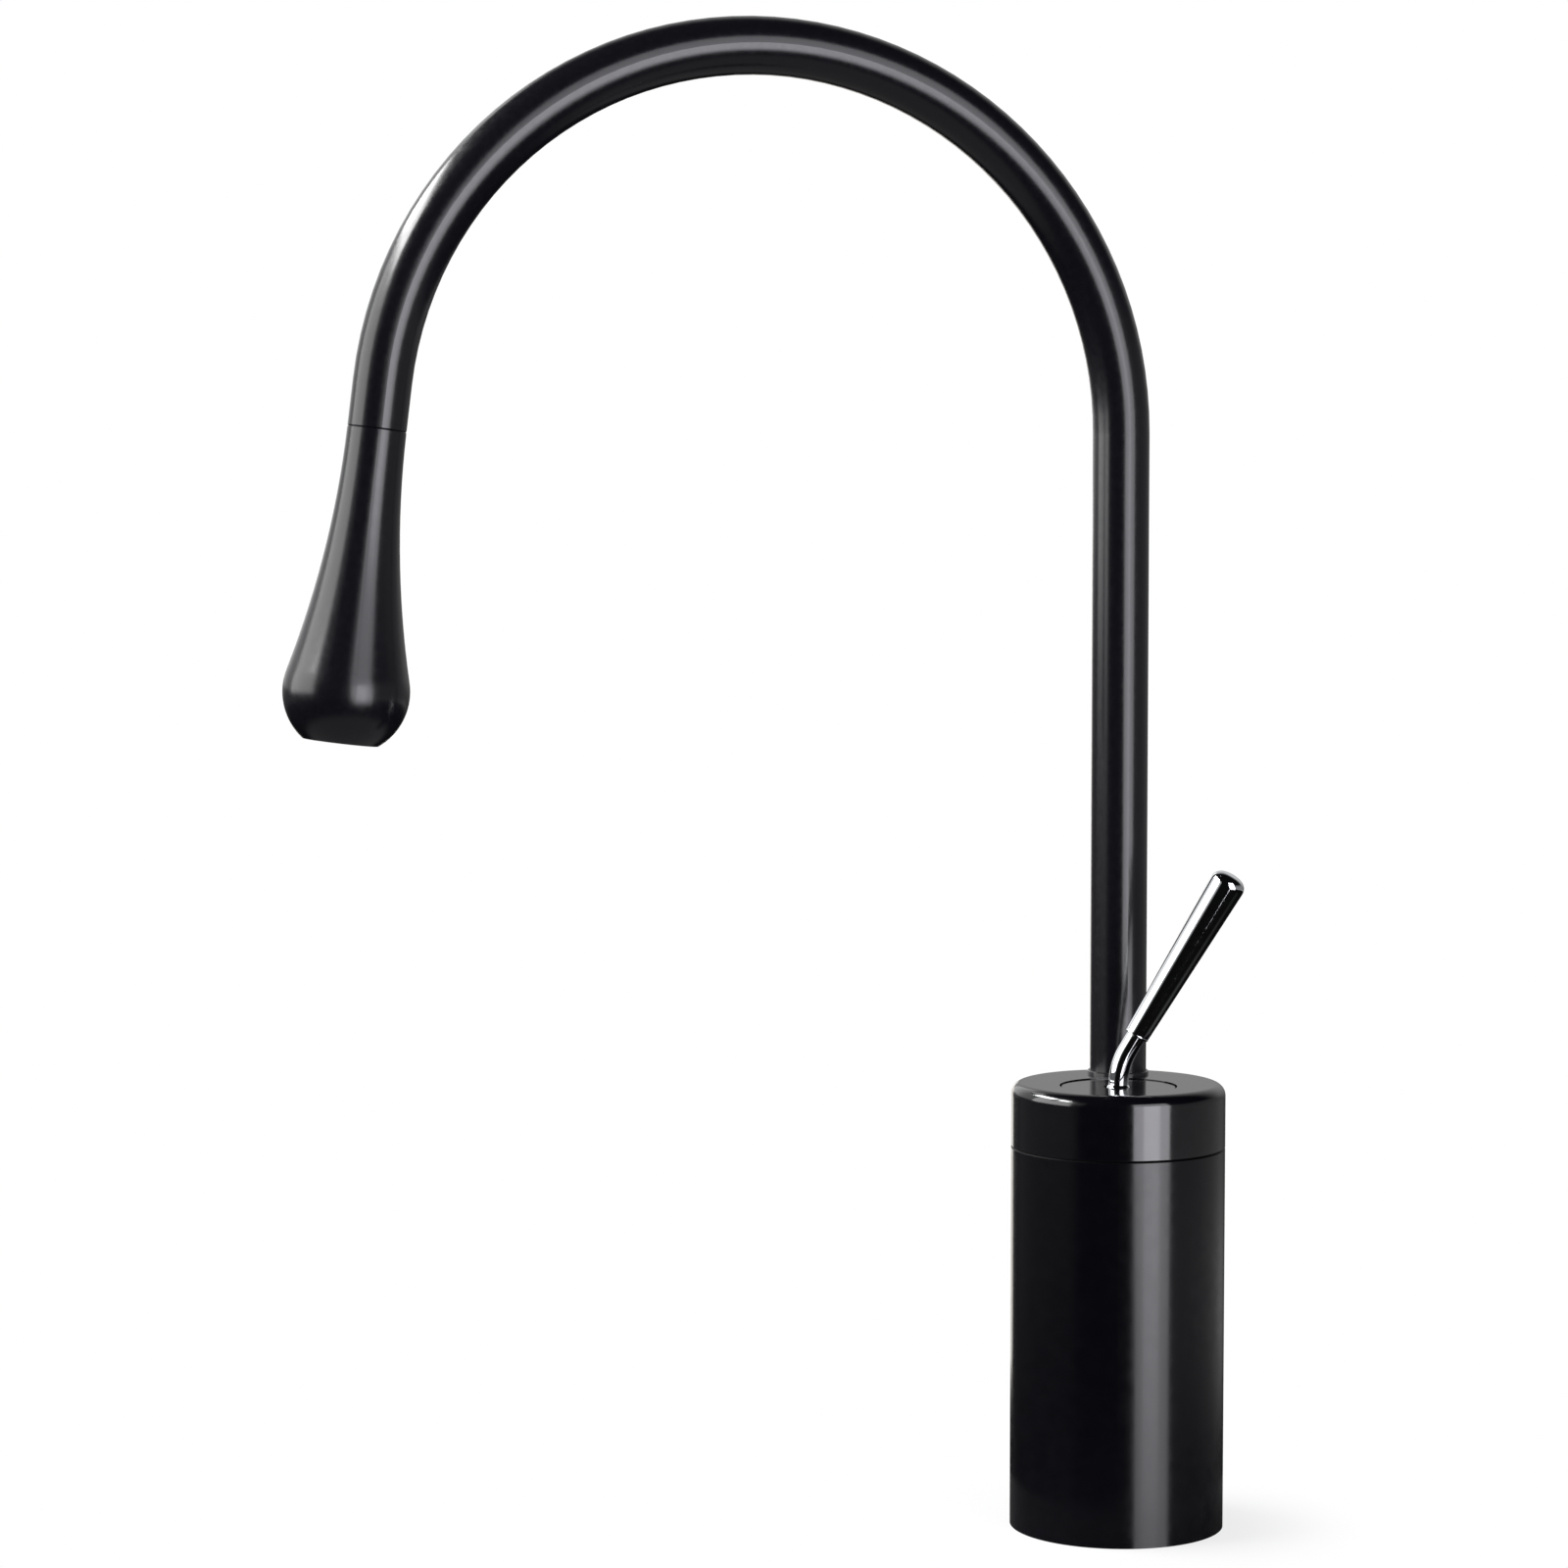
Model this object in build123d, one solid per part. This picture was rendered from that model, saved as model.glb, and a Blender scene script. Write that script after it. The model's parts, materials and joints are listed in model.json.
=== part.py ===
from build123d import *
import os
from math import asin, cos, radians, sin, sqrt, tan

# A single-hole basin mixer. A round body stands on the deck, a slim gooseneck spout swivels in it
# and ends in a drop-shaped nozzle, and a small joystick lever works a ceramic disc cartridge.
# Sizes are in millimetres. Z is up, and the origin is the centre of the body's underside on the deck.
# The basin and the user are towards -Y, the lever is on +X, and the spout stands behind it on -X.

# Body
body_diameter = 60.0
body_height = 125.4
shell_wall = 3.0
cap_height = 18.0
cap_top_thickness = 4.0
rim_radius = 3.3
seam_chamfer = 0.3
dress_fit = 0.05

# Spout
spout_to_edge = 3.0
spout_turn_angle = 19.2
pipe_diameter = 16.0
pipe_wall = 1.5
arch_radius = 105.6
rise_height = 181.7
end_tilt_angle = 7.1
end_straight = 12.8
joint_chamfer = 0.25

# Drop-shaped nozzle
drop_length = 85.0
drop_diameter = 34.4
outlet_diameter = 20.6
outlet_wall = 1.05
outlet_edge = 0.35
nozzle_waterway = 10.0
nozzle_cone_length = 36.0
nozzle_spigot_length = 10.0

# Aerator
aerator_recess = 0.8
aerator_length = 8.6
cage_wall = 1.1
cage_lip = 0.8
cage_lip_width = 0.8
key_notch = 2.4
key_notch_depth = 1.0
screen_thickness = 1.2
screen_pitch = 2.35
screen_web = 0.45
screen_rim = 0.6
insert_thickness = 4.2
insert_rim = 1.0
insert_recess = 1.6
insert_cone_inset = 4.2
insert_cone_tip = 0.8
insert_cone_height = 2.8
jet_width = 0.9
jet_length = 1.9
jet_inset = 2.4
jet_count = 12
aerator_washer_thickness = 1.8
aerator_washer_width = 2.4

# Spout bearing
shank_diameter = 11.6
shank_wall = 1.8
shank_length = 24.0
shank_flange_thickness = 2.0
shank_spigot_length = 8.0
shank_end_chamfer = 0.6
shoulder_depth = 4.0
shoulder_room = 0.4
bush_wall = 0.65
bush_proud = 1.0
bush_edge = 0.25
slide_washer_thickness = 1.0
slide_washer_inset = 0.2
slide_washer_bore_room = 0.2
running_clearance = 0.05
o_ring_thickness = 1.3
o_ring_groove_width = 1.8
o_ring_room = 0.03
o_ring_corner_share = 0.29
lower_o_ring_height = 4.0
upper_o_ring_height = 9.5
clip_height = 13.5
clip_thickness = 1.2
clip_width = 1.5
clip_depth_in_bore = 0.8
clip_room = 0.05
clip_room_on_shank = 0.3
clip_gap_angle = 50.0

# Lever
pivot_depth = 2.0
ball_diameter = 7.2
neck_diameter = 5.5
neck_bend_radius = 19.5
neck_lean_angle = 30.4
neck_straight = 4.8
handle_length = 52.1
handle_foot_diameter = 6.8
handle_top_diameter = 10.1
handle_crown = 1.6
handle_shoulder_radius = 3.1
handle_foot_chamfer = 0.35
tenon_diameter = 3.6
tenon_length = 7.0
stud_diameter = 3.0
stud_length = 4.5
screw_fit = 0.05
stem_diameter = 3.1
tip_ball_diameter = 4.0
pin_diameter = 2.0
pin_length = 14.0
pin_chamfer = 0.2
pin_fit = 0.02
pin_end_room = 0.1
lever_stroke_angle = 25.0
temperature_angle = 45.0

# Cover plate, rotor and its nut
plate_to_edge = 7.0
web_beside_bush = 0.95
plate_gap = 0.35
plate_recess = 0.3
plate_thickness = 2.7
plate_edge = 0.2
mouth_depth_below_pivot = 0.5
ball_clearance = 0.3
nut_inside_plate = 0.5
nut_thread_depth = 1.4
nut_thickness = 3.6
nut_clearance = 0.3
nut_below_plate = 0.4
nut_slot_width = 3.0
nut_slot_depth = 1.6
nut_slot_inset = 1.6
rotor_clearance = 0.1
stem_clearance = 0.3
stop_width_angle = 12.0
stop_depth = 1.4
plate_screw_diameter = 1.6
plate_screw_head = 2.8
plate_screw_head_height = 1.3
plate_screw_grip = 1.8
plate_screw_room = 0.1
plate_screw_inset = 2.1
plate_screw_angle = 55.0
screw_socket_size = 0.75
screw_socket_depth = 0.7

# Cartridge
cartridge_wall = 1.4
housing_lip = 1.0
housing_lip_width = 2.0
disc_travel = 4.4
disc_thickness = 3.0
disc_slide_room = 0.2
carrier_height = 6.6
carrier_plate_thickness = 2.4
carrier_ledge = 2.4
carrier_side_wall = 2.65
carrier_lift_room = 0.6
carrier_lug = 2.0
carrier_lug_depth = 1.6
carrier_mouth_chamfer = 0.2
tip_room = 0.35
tip_below_carrier_top = 2.2
socket_floor = 1.2
rail_width = 1.6
rail_length = 9.0
rail_lift = 0.3
rail_clearance = 0.12
inlet_port_diameter = 3.8
inlet_port_spread = 8.8
inlet_port_back = 3.6
outlet_port_diameter = 5.2
outlet_port_front = 2.4
mixing_pocket_diameter = 9.8
mixing_pocket_depth = 1.6
cartridge_base_thickness = 4.0
seal_width = 1.0
seal_height = 1.2
locating_peg_diameter = 2.4
locating_peg_length = 2.0
locating_peg_inset = 3.6
peg_room = 0.1
fixed_disc_lug = 2.0
fixed_disc_lug_inset = 0.3
lug_width = 3.0
lug_room = 0.1

# Waterway casting inside the body
barrel_wall = 3.6
barrel_floor = 11.6
barrel_below_nut_top = 1.0
socket_wall = 3.0
socket_pocket = 6.6
socket_base_thickness = 3.0
web_width = 10.0
web_below_socket_top = 4.0
locating_band_below_seam = 5.0
locating_band_above_seam = 4.0
foot_height = 3.0
foot_thickness = 12.0
leg_wall = 2.4
leg_bore = 6.0
leg_bore_into_thread = 1.0
leg_bore_into_barrel = 2.0
rib_thickness = 5.0
casting_overlap = 1.0
mixed_channel_roof = 1.3
dress_ring_thickness = 1.2
dress_ring_fit = 0.02
dress_groove_room = 0.1
gasket_width = 7.0

# Connections under the deck, inside a 35 mm hole
hose_thread_bore = 9.0
hose_thread_depth = 10.0
hose_spread = 15.0
hose_back = 5.0
stud_hole_bore = 6.8
stud_hole_depth = 11.0
stud_hole_front = 9.0

# Radii and places that follow from the body, from its edges inwards
body_radius = body_diameter / 2
inner_radius = body_radius - shell_wall
band_radius = inner_radius - dress_fit
pipe_radius = pipe_diameter / 2
pipe_bore_radius = pipe_radius - pipe_wall
bush_bore_radius = pipe_radius + running_clearance
bush_radius = bush_bore_radius + bush_wall
spout_offset = body_radius - pipe_radius - spout_to_edge
room_beside_bush = body_radius + spout_offset - bush_radius - web_beside_bush
plate_radius = (room_beside_bush - plate_gap - plate_to_edge) / 2
lever_offset = body_radius - plate_to_edge - plate_radius
lever_at = (lever_offset, 0)
spout_at = (-spout_offset, 0)
bottom_up = (Align.CENTER, Align.CENTER, Align.MIN)
same_place = 0.001

# Radii that follow from the cover plate, each layer of the cartridge inside the one before
nut_radius = plate_radius - nut_inside_plate
barrel_bore_radius = nut_radius - nut_thread_depth
barrel_radius = barrel_bore_radius + barrel_wall
cartridge_radius = barrel_bore_radius - rotor_clearance
cartridge_bore_radius = cartridge_radius - cartridge_wall
cartridge_inside_radius = cartridge_bore_radius - rotor_clearance
lip_bore_radius = cartridge_bore_radius - housing_lip_width
rotor_neck_radius = lip_bore_radius - rotor_clearance
moving_disc_radius = cartridge_bore_radius - disc_travel / 2 - disc_slide_room
tip_socket_radius = tip_ball_diameter / 2 + tip_room
carrier_block_width = 2 * (tip_socket_radius + carrier_side_wall)
carrier_block_length = 2 * (moving_disc_radius - carrier_ledge)
socket_bore_radius = shank_diameter / 2 + running_clearance
shank_bore = shank_diameter - 2 * shank_wall

# Heights that follow, from the body's top downwards
seam_height = body_height - cap_height
cap_underside = body_height - cap_top_thickness
arch_height = body_height + rise_height
pivot_height = body_height - pivot_depth
spindle_arm = disc_travel / sin(radians(lever_stroke_angle))
tip_height = pivot_height - spindle_arm
carrier_top = tip_height + tip_below_carrier_top
carrier_low = carrier_top - carrier_height
moving_disc_low = carrier_low - disc_thickness
fixed_disc_low = moving_disc_low - disc_thickness
cartridge_floor = fixed_disc_low - cartridge_base_thickness
plate_top = body_height - plate_recess
plate_low = plate_top - plate_thickness
nut_top = plate_low - nut_below_plate
cartridge_top = nut_top - nut_thickness
rotor_low = carrier_top + carrier_lift_room
rotor_shoulder = cartridge_top - housing_lip
slide_washer_top = cap_underside - shoulder_depth
socket_top = slide_washer_top - slide_washer_thickness
shank_low = slide_washer_top - shank_length
socket_low = shank_low - socket_pocket
pipe_foot = slide_washer_top + shank_flange_thickness
band_low = seam_height - locating_band_below_seam
band_high = seam_height + locating_band_above_seam
foot_top = foot_height + foot_thickness
barrel_low = cartridge_floor - barrel_floor
mixed_height = cartridge_floor - mixed_channel_roof - outlet_port_diameter / 2
pocket_height = socket_low + outlet_port_diameter / 2
shell_ring_height = foot_height + foot_thickness / 2
cap_ring_height = seam_height + locating_band_above_seam / 2


def rod(diameter, low, high, at=(0, 0)):
    """Upright round rod between two heights."""
    return Pos(at[0], at[1], low) * Cylinder(diameter / 2, high - low, align=bottom_up)


def tube(outer, inner, low, high, at=(0, 0)):
    """Upright round tube between two heights."""
    return rod(outer, low, high, at) - rod(inner, low, high, at)


def block(width, length, low, high, at=(0, 0)):
    """Upright block, width along X and length along Y."""
    return Pos(at[0], at[1], low) * Box(width, length, high - low, align=bottom_up)


def rod_between(start, end, diameter):
    """Round rod from one point to another."""
    run = Vector(*end) - Vector(*start)
    return Plane(origin=start, z_dir=run) * Cylinder(diameter / 2, run.length, align=bottom_up)


def sector(diameter, half_angle, low, high, at=(0, 0)):
    """Wedge of a disc that opens equally to both sides of +Y."""
    reach = diameter / 2
    start = 90 - half_angle
    rim = CenterArc((0, 0), reach, start, 2 * half_angle)
    outline = Wire([Line((0, 0), rim @ 0), rim, Line(rim @ 1, (0, 0))])
    return Pos(at[0], at[1], low) * extrude(Face(outline), high - low)


def o_ring(outer_radius, thickness, height):
    """Rubber ring pressed flat by its groove and its bore, so its round section is near an octagon."""
    half = thickness / 2
    ring = tube(2 * outer_radius, 2 * (outer_radius - thickness), height - half, height + half)
    return chamfer(ring.edges().filter_by(GeomType.CIRCLE), o_ring_corner_share * thickness)


def rim_edge(shape, height, radius, at=(0, 0)):
    """The circle of the given radius at a height, for a fillet or a chamfer."""
    found = [
        edge
        for edge in shape.edges().filter_by(GeomType.CIRCLE)
        if abs(edge.radius - radius) < same_place
        and (edge.arc_center - Vector(at[0], at[1], height)).length < same_place
    ]
    return ShapeList(found)


def body_shell():
    """Lower sleeve of the body, open at both ends, with a fine bevel at the seam."""
    sleeve = tube(body_diameter, 2 * inner_radius, 0, seam_height)
    return chamfer(rim_edge(sleeve, seam_height, body_radius), seam_chamfer)


def top_cap():
    """Cup that closes the body, with a round opening for the plate and one for the spout's bush."""
    cup = rod(body_diameter, seam_height, body_height)
    cup = fillet(rim_edge(cup, body_height, body_radius), rim_radius)
    cup = chamfer(rim_edge(cup, seam_height, body_radius), seam_chamfer)
    cup -= rod(2 * inner_radius, seam_height, cap_underside)
    cup -= rod(pipe_diameter + 2 * shoulder_room, slide_washer_top - shoulder_room, cap_underside, spout_at)
    cup -= rod(2 * (plate_radius + plate_gap), cap_underside, body_height, lever_at)
    cup -= rod(2 * bush_radius, cap_underside, body_height, spout_at)
    return cup


def base_gasket():
    """Flat rubber ring that seals the body to the deck."""
    return tube(2 * inner_radius, 2 * (inner_radius - gasket_width), 0, foot_height)


def dress_ring(height):
    """Rubber ring in a groove of the casting, which grips the sleeve or the cap."""
    return o_ring(inner_radius - dress_ring_fit, dress_ring_thickness, height)


def dress_groove(height):
    """Groove for the ring that grips the sleeve or the cap."""
    half = dress_ring_thickness / 2 + dress_groove_room
    floor = inner_radius - dress_ring_fit - dress_ring_thickness - dress_ring_fit
    return tube(body_diameter, 2 * floor, height - half, height + half)


def port_places():
    """Centres of the hot, cold and mixed ports, in plan, with their diameters."""
    hot = (lever_offset - inlet_port_spread / 2, inlet_port_back, inlet_port_diameter)
    cold = (lever_offset + inlet_port_spread / 2, inlet_port_back, inlet_port_diameter)
    mixed = (lever_offset, -outlet_port_front, outlet_port_diameter)
    return [hot, cold, mixed]


def hose_places():
    """Centres of the two hose threads, in plan: hot, then cold."""
    return [(-hose_spread / 2, hose_back), (hose_spread / 2, hose_back)]


def peg_places():
    """Centres of the two locating pegs under the cartridge."""
    reach = cartridge_bore_radius - locating_peg_inset
    return [(lever_offset, reach), (lever_offset, -reach)]


def leg_ends(which):
    """Lower and upper end of the cast leg that leads a hose thread to its port."""
    hose = hose_places()[which]
    port = port_places()[which]
    low = (hose[0], hose[1], foot_height + hose_thread_depth - leg_bore_into_thread)
    high = (port[0], port[1], barrel_low + leg_bore_into_barrel)
    return low, high


def casting_blank():
    """The casting before its bores: foot, legs, rib, barrel, spout socket and locating band."""
    foot = rod(2 * band_radius, foot_height, foot_top)
    barrel = rod(2 * barrel_radius, barrel_low, nut_top - barrel_below_nut_top, lever_at)
    socket_base = socket_low - socket_base_thickness
    socket = rod(2 * (socket_bore_radius + socket_wall), socket_base, socket_top, spout_at)
    band = rod(2 * band_radius, band_low, band_high)
    web = block(spout_offset + lever_offset, web_width, barrel_low, socket_top - web_below_socket_top)
    web = Pos((lever_offset - spout_offset) / 2, 0, 0) * web
    rib = block(2 * spout_offset, rib_thickness, foot_top - casting_overlap, barrel_low + casting_overlap)
    blank = foot + barrel + socket + band + web + Pos(-lever_offset / 2, 0, 0) * rib
    for which in (0, 1):
        low, high = leg_ends(which)
        blank += rod_between(low, high, leg_bore + 2 * leg_wall)
    return blank & rod(2 * band_radius, foot_height, body_height)


def mixer_core():
    """Waterway casting, bored for the cartridge, its nut, the spout's shank, the water and the threads."""
    core = casting_blank()
    core -= rod(2 * barrel_bore_radius, cartridge_floor, body_height, lever_at)
    core -= rod(2 * nut_radius, cartridge_top, body_height, lever_at)
    core -= rod(2 * socket_bore_radius, socket_low, body_height, spout_at)
    clip_low = shank_low + clip_height - clip_thickness / 2
    clip_seat = 2 * (socket_bore_radius + clip_depth_in_bore)
    core -= rod(clip_seat, clip_low - clip_room, clip_low + clip_thickness + clip_room, spout_at)

    for which in (0, 1):
        low, high = leg_ends(which)
        x, y, diameter = port_places()[which]
        core -= rod_between(low, high, leg_bore)
        core -= rod(diameter, high[2] - casting_overlap, cartridge_floor, (x, y))
    x, y, diameter = port_places()[2]
    core -= rod(diameter, mixed_height, cartridge_floor, (x, y))
    core -= rod_between((x, y, mixed_height), (-spout_offset, 0, pocket_height), diameter)
    core -= Pos(x, y, mixed_height) * Sphere(diameter / 2)
    peg_hole = locating_peg_diameter + 2 * peg_room
    for place in peg_places():
        core -= rod(peg_hole, cartridge_floor - locating_peg_length - peg_room, cartridge_floor, place)

    for place in hose_places():
        core -= rod(hose_thread_bore, foot_height, foot_height + hose_thread_depth, place)
    core -= rod(stud_hole_bore, foot_height, foot_height + stud_hole_depth, (0, -stud_hole_front))
    core -= dress_groove(shell_ring_height)
    core -= dress_groove(cap_ring_height)
    return core


def cartridge_housing():
    """Plastic cup of the cartridge, open below, with a lip that holds the rotor down and a stop."""
    cup = tube(2 * cartridge_radius, 2 * cartridge_bore_radius, cartridge_floor, cartridge_top, lever_at)
    cup += tube(2 * cartridge_radius, 2 * lip_bore_radius, rotor_shoulder, cartridge_top, lever_at)
    stop = sector(2 * cartridge_radius, stop_width_angle / 2, rotor_low, rotor_shoulder, lever_at)
    stop -= rod(2 * (cartridge_bore_radius - stop_depth), rotor_low, rotor_shoulder, lever_at)
    return cup + stop


def cartridge_base():
    """Plastic floor of the cartridge, with its three ports, seal seats, pegs and disc lugs."""
    floor = rod(2 * cartridge_inside_radius, cartridge_floor, fixed_disc_low, lever_at)
    for place in peg_places():
        floor += rod(locating_peg_diameter, cartridge_floor - locating_peg_length, fixed_disc_low, place)
    reach = cartridge_inside_radius - fixed_disc_lug_inset - fixed_disc_lug / 2
    for side in (-1, 1):
        at = (lever_offset + side * reach, 0)
        floor += block(fixed_disc_lug, lug_width, fixed_disc_low, fixed_disc_low + disc_thickness / 2, at)
    for x, y, diameter in port_places():
        seat = diameter + 2 * seal_width
        floor -= rod(diameter, cartridge_floor, fixed_disc_low, (x, y))
        floor -= rod(seat, cartridge_floor, cartridge_floor + seal_height, (x, y))
        floor -= rod(seat, fixed_disc_low - seal_height, fixed_disc_low, (x, y))
    return floor


def port_seals():
    """Six small rubber rings, one above and one below each port of the cartridge's floor."""
    rings = []
    for x, y, diameter in port_places():
        for low in (cartridge_floor, fixed_disc_low - seal_height):
            rings.append(tube(diameter + 2 * seal_width, diameter, low, low + seal_height, (x, y)))
    return Compound(children=rings)


def edge_notches(radius, reach, low, high, middle):
    """Two cutters on the left and right edge of a disc, which leave room round a lug."""
    width = 2 * (reach + lug_room)
    return [
        block(width, lug_width + 2 * lug_room, low, high, (middle[0] + side * radius, middle[1]))
        for side in (-1, 1)
    ]


def fixed_ceramic_disc():
    """Lower ceramic disc, with the three ports and two edge notches that stop it turning."""
    disc = rod(2 * cartridge_inside_radius, fixed_disc_low, moving_disc_low, lever_at)
    for x, y, diameter in port_places():
        disc -= rod(diameter, fixed_disc_low, moving_disc_low, (x, y))
    notch_top = fixed_disc_low + disc_thickness / 2 + lug_room
    reach = fixed_disc_lug + fixed_disc_lug_inset
    return disc - edge_notches(cartridge_inside_radius, reach, fixed_disc_low, notch_top, lever_at)


moving_disc_at = (lever_offset, -disc_travel / 2)


def moving_ceramic_disc():
    """Upper ceramic disc at its closed place, with the pocket that mixes the water."""
    disc = rod(2 * moving_disc_radius, moving_disc_low, carrier_low, moving_disc_at)
    pocket_top = moving_disc_low + mixing_pocket_depth
    disc -= rod(mixing_pocket_diameter, moving_disc_low, pocket_top, moving_disc_at)
    notch_low = carrier_low - carrier_lug_depth - lug_room
    return disc - edge_notches(moving_disc_radius, carrier_lug, notch_low, carrier_low, moving_disc_at)


def disc_carrier():
    """Sliding block that grips the upper disc and takes the lever's lower ball in its socket."""
    block_low = carrier_low + carrier_plate_thickness
    carrier = rod(2 * moving_disc_radius, carrier_low, block_low, moving_disc_at)
    carrier += block(carrier_block_width, carrier_block_length, block_low, carrier_top, moving_disc_at)
    for side in (-1, 1):
        lug = rod(2 * moving_disc_radius, carrier_low - carrier_lug_depth, carrier_low, moving_disc_at)
        at = (lever_offset + side * moving_disc_radius, moving_disc_at[1])
        lug &= block(2 * carrier_lug, lug_width, carrier_low - carrier_lug_depth, carrier_low, at)
        carrier += lug
    carrier -= rod(2 * tip_socket_radius, carrier_low + socket_floor, carrier_top, lever_at)
    return chamfer(rim_edge(carrier, carrier_top, tip_socket_radius, lever_at), carrier_mouth_chamfer)


def plate_screw_places():
    """Centres of the two screws that hold the plate to the rotor, across the lever's axis."""
    reach = rotor_neck_radius - plate_screw_inset
    turn = radians(plate_screw_angle)
    x, y = reach * cos(turn), reach * sin(turn)
    return [(lever_offset + x, y), (lever_offset - x, -y)]


def stem_reach(below_pivot):
    """How far towards +Y the stem's back edge gets at full stroke, at a depth below the pivot."""
    stroke = radians(lever_stroke_angle)
    return below_pivot * tan(stroke) + stem_diameter / 2 / cos(stroke)


def lever_rotor():
    """Turning centre of the cartridge: a flange under the lip, a neck, and rails for the carrier."""
    rotor = rod(2 * cartridge_inside_radius, rotor_low, rotor_shoulder - rotor_clearance, lever_at)
    swing = temperature_angle + stop_width_angle / 2
    notch = sector(2 * cartridge_radius, swing, rotor_low, rotor_shoulder, lever_at)
    notch_floor = cartridge_bore_radius - stop_depth - rotor_clearance
    rotor -= notch - rod(2 * notch_floor, rotor_low, rotor_shoulder, lever_at)
    rotor += rod(2 * rotor_neck_radius, rotor_low, plate_low, lever_at)
    rail_low = carrier_low + carrier_plate_thickness + rail_lift
    rail_place = carrier_block_width / 2 + rail_clearance + rail_width / 2
    for side in (-1, 1):
        at = (lever_offset + side * rail_place, 0)
        rotor += block(rail_width, rail_length, rail_low, rotor_low, at)

    front = stem_diameter / 2 + stem_clearance
    back = stem_reach(pivot_height - rotor_low) + stem_clearance
    slot = block(2 * front, front + back, rotor_low, plate_low)
    rotor -= Pos(lever_offset, (back - front) / 2, 0) * slot
    rotor -= Pos(lever_offset, 0, pivot_height) * Sphere(ball_diameter / 2 + ball_clearance)
    for place in plate_screw_places():
        rotor -= rod(plate_screw_diameter + 2 * plate_screw_room, rotor_low, plate_low, place)
        head_top = rotor_low + plate_screw_head_height
        rotor -= rod(plate_screw_head + 2 * plate_screw_room, rotor_low, head_top, place)
    return rotor


def cartridge_nut():
    """Threaded ring that holds the cartridge in its barrel, with four slots for a spanner."""
    nut_bore_radius = rotor_neck_radius + nut_clearance
    ring = tube(2 * nut_radius, 2 * nut_bore_radius, cartridge_top, nut_top, lever_at)
    notch = block(2 * nut_radius, nut_slot_width, nut_top - nut_slot_depth, nut_top)
    notch = Pos(nut_bore_radius + nut_slot_inset + nut_radius, 0, 0) * notch
    for turn in range(4):
        ring -= Pos(lever_offset, 0, 0) * Rot(0, 0, 45 + 90 * turn) * notch
    return ring


def lever_plate():
    """Round plate just below the cap's face, with an oval mouth for the lever's ball."""
    plate = rod(2 * plate_radius, plate_low, plate_top, lever_at)
    plate = chamfer(rim_edge(plate, plate_top, plate_radius, lever_at), plate_edge)
    seat_radius = ball_diameter / 2 + ball_clearance
    plate -= Pos(lever_offset, 0, pivot_height) * Sphere(seat_radius)
    rise = plate_top - pivot_height
    mouth_radius = sqrt(seat_radius**2 - rise**2)
    stroke = radians(lever_stroke_angle)
    neck_edge = rise * tan(stroke) + neck_diameter / 2 / cos(stroke)
    slide = neck_edge + ball_clearance - mouth_radius
    mouth = SlotCenterToCenter(slide, 2 * mouth_radius, rotation=90)
    cut = extrude(mouth, rise + mouth_depth_below_pivot)
    plate -= Pos(lever_offset, -slide / 2, pivot_height - mouth_depth_below_pivot) * cut
    channel_top = pivot_height + pin_diameter / 2 + pin_fit
    channel = block(pin_length + 2 * pin_end_room, pin_diameter + 2 * pin_fit, plate_low, channel_top)
    plate -= Pos(lever_offset, 0, 0) * channel
    for place in plate_screw_places():
        plate -= rod(plate_screw_diameter, plate_low, plate_low + plate_screw_grip, place)
    return plate


def plate_screws():
    """Two small screws that come up through the rotor into the plate."""
    screws = []
    for place in plate_screw_places():
        head = rod(plate_screw_head, rotor_low, rotor_low + plate_screw_head_height, place)
        thread = rod(plate_screw_diameter, rotor_low, plate_low + plate_screw_grip, place)
        key_hole = extrude(RegularPolygon(screw_socket_size, 6), screw_socket_depth)
        screws.append(head + thread - Pos(place[0], place[1], rotor_low) * key_hole)
    return Compound(children=screws)


def pivot_pin():
    """Cross pin under the plate, on which the lever tilts."""
    start = (lever_offset - pin_length / 2, 0, pivot_height)
    end = (lever_offset + pin_length / 2, 0, pivot_height)
    return chamfer(rod_between(start, end, pin_diameter).edges().filter_by(GeomType.CIRCLE), pin_chamfer)


ball_flat = sqrt(ball_diameter**2 - neck_diameter**2) / 2


def lever_spindle():
    """Ball on the cross pin, with the stem and small ball that drive the discs, and a threaded stud."""
    ball = Sphere(ball_diameter / 2)
    ball -= Pos(0, 0, ball_flat) * Cylinder(ball_diameter, ball_diameter, align=bottom_up)
    spindle = ball + rod(stud_diameter, 0, ball_flat + stud_length)
    spindle += rod(stem_diameter, -spindle_arm, 0)
    spindle += Pos(0, 0, -spindle_arm) * Sphere(tip_ball_diameter / 2)
    hole = pin_diameter + 2 * running_clearance
    spindle -= rod_between((-ball_diameter, 0, 0), (ball_diameter, 0, 0), hole)
    return Pos(lever_offset, 0, pivot_height) * spindle


def neck_route():
    """Centre line of the neck in the lever's plane: a bend that starts upright, then a short straight."""
    bend = CenterArc((neck_bend_radius, ball_flat), neck_bend_radius, 180, -neck_lean_angle)
    straight = Line(bend @ 1, (bend @ 1) + (bend % 1) * neck_straight)
    return bend, straight


lever_side = Plane(origin=(lever_offset, 0, pivot_height), x_dir=(0, 1, 0), z_dir=(1, 0, 0))


def handle_frame():
    """Plane at the handle's foot, square to it."""
    bend, straight = neck_route()
    foot = straight @ 1
    run = straight % 1
    origin = lever_side.from_local_coords(Vector(foot.X, foot.Y, 0))
    return Plane(origin=origin, x_dir=(1, 0, 0), z_dir=(0, run.X, run.Y))


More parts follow.
